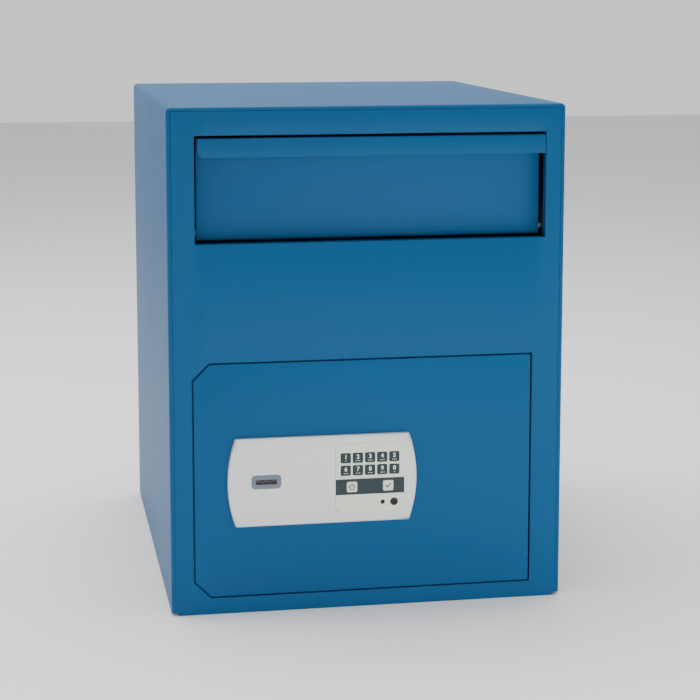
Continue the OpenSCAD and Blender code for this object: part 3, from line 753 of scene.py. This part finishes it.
WAVES = 5
WAVE_HEIGHT = 1.1 * MM
clear_selection()
bpy.ops.mesh.primitive_grid_add(
    x_subdivisions=WAVES * 8,
    y_subdivisions=2,
    size=1,
    location=(slot_x, panel_low.y + 1.4 * MM, slot_z),
    rotation=(math.radians(90), 0, 0),
)
lip = bpy.context.object
lip.name = "key_slot_lip"
lip.scale = (SLOT_HALF[0] * 1.9, 1.3 * MM, 1)
bpy.ops.object.transform_apply(location=True, rotation=True, scale=True)
for wave in range(WAVES):
    crest = slot_x + (wave - (WAVES - 1) / 2) * SLOT_HALF[0] * 1.7 / WAVES
    pick(lip, "VERT", lambda p: abs(p.x - crest) < 0.4 * MM)
    bpy.ops.transform.translate(
        value=(0, 0, WAVE_HEIGHT * (-1) ** wave),
        use_proportional_edit=True,
        proportional_edit_falloff="SMOOTH",
        proportional_size=2.6 * MM,
    )
    bpy.ops.object.mode_set(mode="OBJECT")
thicken(lip, 0.5 * MM)
# The keyway lip is coloured a dark brownish black: the brassy tint of its metal with the shade
# inside the slot painted into it.
keyway_metal_and_painted_shade = moulded("keyway_metal_and_painted_shade", (0.07, 0.065, 0.055, 1), roughness=0.35)
hand_over(lip, "door", keyway_metal_and_painted_shade)


# Keypad plate: a pale moulded frame with a hole for each key, the status light and the
# power socket, let into a pocket of the lock panel over a rubber mat.
KEY_GAP = 0.3 * MM
SET_IN_GAP = 0.05 * MM
KEY_CORNER = 1.5 * MM
LIGHT_CORNER = 2.25 * MM
SOCKET_CORNER = 4 * MM


def key_hole(name, extra=KEY_GAP, corner=KEY_CORNER):
    """A cutter for what is set in the plate, larger than it all round."""
    low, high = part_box(name)
    return rounded_block(
        "key_hole",
        (low.x - extra, low.z - extra),
        (high.x + extra, high.z + extra),
        pad_high.y + 1 * MM,
        pad_low.y - 2 * MM,
        corner,
    )


digits = [str(count) for count in range(10)]
pad_plate = add_plane("keypad_frame", (pad_low.x, pad_low.z), (pad_high.x, pad_high.z), pad_high.y)
round_corners(pad_plate, lambda p: near(p.z, pad_low.z), 6 * MM)
round_corners(pad_plate, lambda p: near(p.z, pad_high.z), 1.5 * MM, segments=4)
pull_out(pad_plate, pad_high.y - pad_low.y)
round_rim(pad_plate, 0.5 * MM)
carve(
    pad_plate,
    *[key_hole("key_" + name) for name in digits + ["power", "confirm"]],
    key_hole("status_light", SET_IN_GAP, LIGHT_CORNER),
    key_hole("power_socket", SET_IN_GAP, SOCKET_CORNER),
)
pad_plastic = moulded("keypad_plastic", (0.78, 0.84, 0.71, 1), roughness=0.5, speckle=0.03)
hand_over(pad_plate, "door", pad_plastic, ["keypad_plate"])
dark_plastic = moulded("key_plastic", (0.018, 0.036, 0.041, 1), roughness=0.5)
recoat(dark_plastic, "keypad_band")
recoat(moulded("mat_rubber", (0.015, 0.016, 0.018, 1), roughness=0.7), "keypad_mat")


# Digit keys: dark moulded caps with rounded rims, all from one mould, each with a white
# printed digit and a row of small marks, running in the plate's holes.
white_print = moulded("white_print", (0.85, 0.87, 0.85, 1), roughness=0.5, speckle=0.03)
CAP_RIM = 0.5 * MM
PRINT_DEPTH = 0.06 * MM
DIGIT_HEIGHT = 6 * MM
DIGIT_FOOT = 4.5 * MM
MARK_FOOT = 1.9 * MM
MARK_HEIGHT = 0.7 * MM
MARK_HALF = 0.4 * MM
MARK_STEP = 1.7 * MM


def cap_mould(name):
    """Models the cap that like keys are copied from, at the place of one of them."""
    low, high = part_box(name)
    mould = rounded_block(
        "cap_mould", (low.x, low.z), (high.x, high.z), high.y, low.y, KEY_CORNER
    )
    round_rim(mould, CAP_RIM)
    return mould


def cast_cap(mould, name, shift):
    """Copies the mould, mesh and all, and moves the copy to its key."""
    clear_selection()
    mould.select_set(True)
    bpy.context.view_layer.objects.active = mould
    bpy.ops.object.duplicate()
    cap = bpy.context.object
    cap.name = name
    cap.location = shift
    bpy.ops.object.transform_apply(location=True, rotation=True, scale=True)
    return cap


def join(piece, *others):
    clear_selection()
    for other in others:
        other.select_set(True)
    piece.select_set(True)
    bpy.context.view_layer.objects.active = piece
    bpy.ops.object.join()


mould = cap_mould("key_0")
mould_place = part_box("key_0")[0]
for digit in digits:
    low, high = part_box("key_" + digit)
    cap = cast_cap(mould, "keycap_" + digit, low - mould_place)
    hand_over(cap, "key_" + digit, dark_plastic, ["key_" + digit])
    middle_x = (low.x + high.x) / 2
    clear_selection()
    bpy.ops.object.text_add(
        location=(middle_x, low.y, low.z + DIGIT_FOOT), rotation=(math.radians(90), 0, 0)
    )
    numeral = bpy.context.object
    numeral.name = "digit_" + digit
    numeral.data.body = digit
    numeral.data.size = DIGIT_HEIGHT
    numeral.data.offset = 0.12 * MM
    numeral.data.extrude = PRINT_DEPTH
    numeral.data.align_x = "CENTER"
    numeral.data.resolution_u = 4
    bpy.ops.object.convert(target="MESH")
    bpy.ops.object.transform_apply(location=True, rotation=True, scale=True)
    numeral = bpy.context.object
    mark_foot = low.z + MARK_FOOT
    marks = [
        add_block(
            "mark",
            (middle_x + step * MARK_STEP - MARK_HALF, low.y - PRINT_DEPTH, mark_foot),
            (middle_x + step * MARK_STEP + MARK_HALF, low.y, mark_foot + MARK_HEIGHT),
        )
        for step in ([0] if digit in "10" else [-1, 0, 1])
    ]
    join(numeral, *marks)
    hand_over(numeral, "key_" + digit, white_print)
bpy.data.objects.remove(mould)


# Power and confirm keys: pale moulded caps in the dark band, each with a dark printed
# symbol, an open ring with a bar on one and a tick on the other.
dark_print = moulded("dark_print", (0.05, 0.06, 0.065, 1), roughness=0.5, speckle=0.03)


def slanted_bar(place, length, width, angle):
    """Adds a printed stroke, turned by that many degrees from level."""
    clear_selection()
    bpy.ops.mesh.primitive_cube_add(
        size=1, location=place, rotation=(0, math.radians(angle), 0)
    )
    piece = bpy.context.object
    piece.scale = (length, PRINT_DEPTH * 2, width)
    bpy.ops.object.transform_apply(location=True, rotation=True, scale=True)
    return piece


mould = cap_mould("key_power")
mould_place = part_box("key_power")[0]
for name in ("power", "confirm"):
    low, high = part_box("key_" + name)
    cap = cast_cap(mould, "keycap_" + name, low - mould_place)
    hand_over(cap, "key_" + name, pad_plastic, ["key_" + name])
    centre = Vector(((low.x + high.x) / 2, low.y, (low.z + high.z) / 2))
    if name == "power":
        clear_selection()
        bpy.ops.mesh.primitive_torus_add(
            major_radius=2.7 * MM,
            minor_radius=0.55 * MM,
            major_segments=48,
            minor_segments=8,
            location=centre,
            rotation=(math.radians(90), 0, 0),
        )
        symbol = bpy.context.object
        symbol.scale = (1, 1, 0.15)
        bpy.ops.object.transform_apply(location=True, rotation=True, scale=True)
        remove_faces(
            symbol,
            lambda face, normal: face.z > centre.z and abs(face.x - centre.x) < 1.1 * MM,
        )
        bar = slanted_bar(centre + Vector((0, 0, 1.6 * MM)), 3.4 * MM, 1.1 * MM, 90)
    else:
        long_stroke = centre + Vector((0.7 * MM, 0, 0.2 * MM))
        short_stroke = centre + Vector((-1.9 * MM, 0, -0.7 * MM))
        symbol = slanted_bar(long_stroke, 5.4 * MM, 1.2 * MM, -48)
        bar = slanted_bar(short_stroke, 2.9 * MM, 1.2 * MM, 45)
    symbol.name = "symbol_" + name
    join(symbol, bar)
    hand_over(symbol, "key_" + name, dark_print)
bpy.data.objects.remove(mould)


# Status light and power socket: a dark lens and a round socket for an outside supply,
# both set in the plate, with a small printed mark beside the light.
light_low, light_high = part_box("status_light")
light_middle = (light_low + light_high) / 2
clear_selection()
bpy.ops.mesh.primitive_uv_sphere_add(segments=40, ring_count=24, radius=1, location=light_middle)
lens = bpy.context.object
lens.name = "status_lens"
lens.scale = (light_high - light_low) / 2
bpy.ops.object.transform_apply(location=True, rotation=True, scale=True)
hand_over(
    lens,
    "door",
    moulded("smoked_lens", (0.006, 0.008, 0.01, 1), roughness=0.14, speckle=0.02),
    ["status_light"],
)
mark = add_block(
    "light_mark",
    (light_low.x - 3.2 * MM, pad_low.y - PRINT_DEPTH, light_middle.z - 0.5 * MM),
    (light_low.x - 1.8 * MM, pad_low.y, light_middle.z + 0.5 * MM),
)
hand_over(mark, "door", dark_print)
recoat(black, "power_socket", "battery_holder", "gearbox")


# Working parts behind the door: turned steel pins and bolts, zinc plated brackets, brass
# gears, acetal bushes, the grey pressed cover, the battery cells and the circuit board.
def machined(name, colour, roughness, stretch, scratch):
    """Bare or plated metal. scratch is the share of the tool marks in its roughness."""
    material, canvas = new_material(name, colour)
    lines = noise(canvas, 240, 3, stretch)
    cloud = noise(canvas, 25, 3)
    surface = {
        "Base Color": cloud.mix(shaded(colour, -0.15), shaded(colour, 0.1)),
        "Roughness": (lines * scratch + cloud * (1 - scratch)).span(
            roughness - 0.12, roughness + 0.12
        ),
        "Metallic": 1,
    }
    set_surface(canvas, surface, bump=lines, bump_depth=0.00004, bump_strength=0.3)
    return material


steel = machined("bright_steel", (0.56, 0.56, 0.57, 1), 0.32, (1, 1, 12), scratch=0.6)
zinc = machined("zinc_plate", (0.6, 0.62, 0.63, 1), 0.42, (1, 1, 1), scratch=0.3)
brass = machined("brass", (0.72, 0.52, 0.24, 1), 0.32, (1, 8, 1), scratch=0.5)
acetal = moulded("black_acetal", (0.014, 0.014, 0.016, 1), roughness=0.5, speckle=0.06)
cover_paint = powder_coat("grey_cover_paint", (0.3, 0.31, 0.32, 1), roughness=0.5)
recoat(steel, "hopper_brackets", "fishing_baffle", "hinge_brackets", "hopper_counterweight")
recoat(steel, "hinge_arms", "locking_bolts", "key_barrel", "panel_studs", "motor")
recoat(zinc, "hinge_pins", "hopper_pins", "hopper_rivets", "bolt_guide", "cover_posts")
recoat(zinc, "cover_screws", "panel_nuts", "key_lock_case", "motor_bracket", "key_cam")
recoat(zinc, "bolt_bar", "bolt_nuts")
recoat(brass, "hinge_washers", "drive_pinion")
recoat(acetal, "hopper_bushes")
recoat(cover_paint, "lock_cover")
recoat(moulded("cell_wrap", (0.46, 0.46, 0.42, 1), roughness=0.25, speckle=0.1), "batteries")
recoat(
    moulded("board_green", (0.01, 0.11, 0.04, 1), roughness=0.35, speckle=0.15), "circuit_board"
)


# Studio floor finish: plain, pale and matt, with no pattern, so that it only catches the
# soft shadow at the foot of the box.
PALE = (0.9, 0.9, 0.9, 1)
floor_paint, canvas = new_material("studio_floor_paint", PALE)
set_surface(canvas, {"Base Color": PALE, "Roughness": 0.8})
floor.data.materials.append(floor_paint)

low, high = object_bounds()
